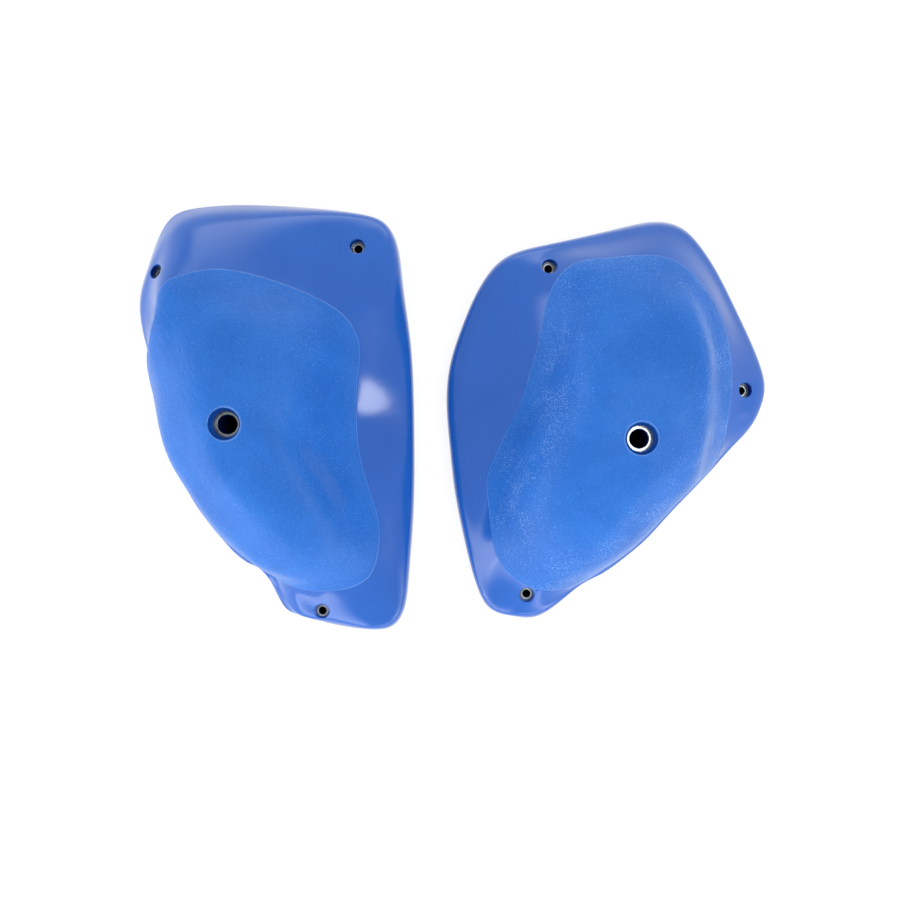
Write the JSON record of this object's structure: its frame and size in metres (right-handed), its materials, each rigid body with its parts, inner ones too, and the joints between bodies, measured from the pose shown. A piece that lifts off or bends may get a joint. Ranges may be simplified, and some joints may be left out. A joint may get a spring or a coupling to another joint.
{
  "type": "climbing hold",
  "caption": "Bolt-on climbing hold set: broad dual-texture hollow-backed castings, each with a bolt column, ribs and moulded-in steel washers for a bolt and screws.",
  "frame": {"origin": "bottom centre of the pair's bounding box, in the plane of the wall faces", "axes": "+X along the pair, from the left hold to the right one; +Y towards the picture's top; +Z away from the wall"},
  "size_m": [0.4302, 0.2932, 0.0853],
  "materials": {
    "urethane": "moulded polyurethane, smooth on the skirt and sand-textured on the grip",
    "steel": "zinc-plated steel"
  },
  "bodies": {
    "root": {"left_hold_body": "urethane", "left_bolt_washer": "steel", "left_screw_washer_side": "steel", "left_screw_washer_top": "steel", "left_screw_washer_toe": "steel", "right_hold_body": "urethane", "right_bolt_washer": "steel", "right_screw_washer_top": "steel", "right_screw_washer_side": "steel", "right_screw_washer_toe": "steel"}
  },
  "joints": []
}
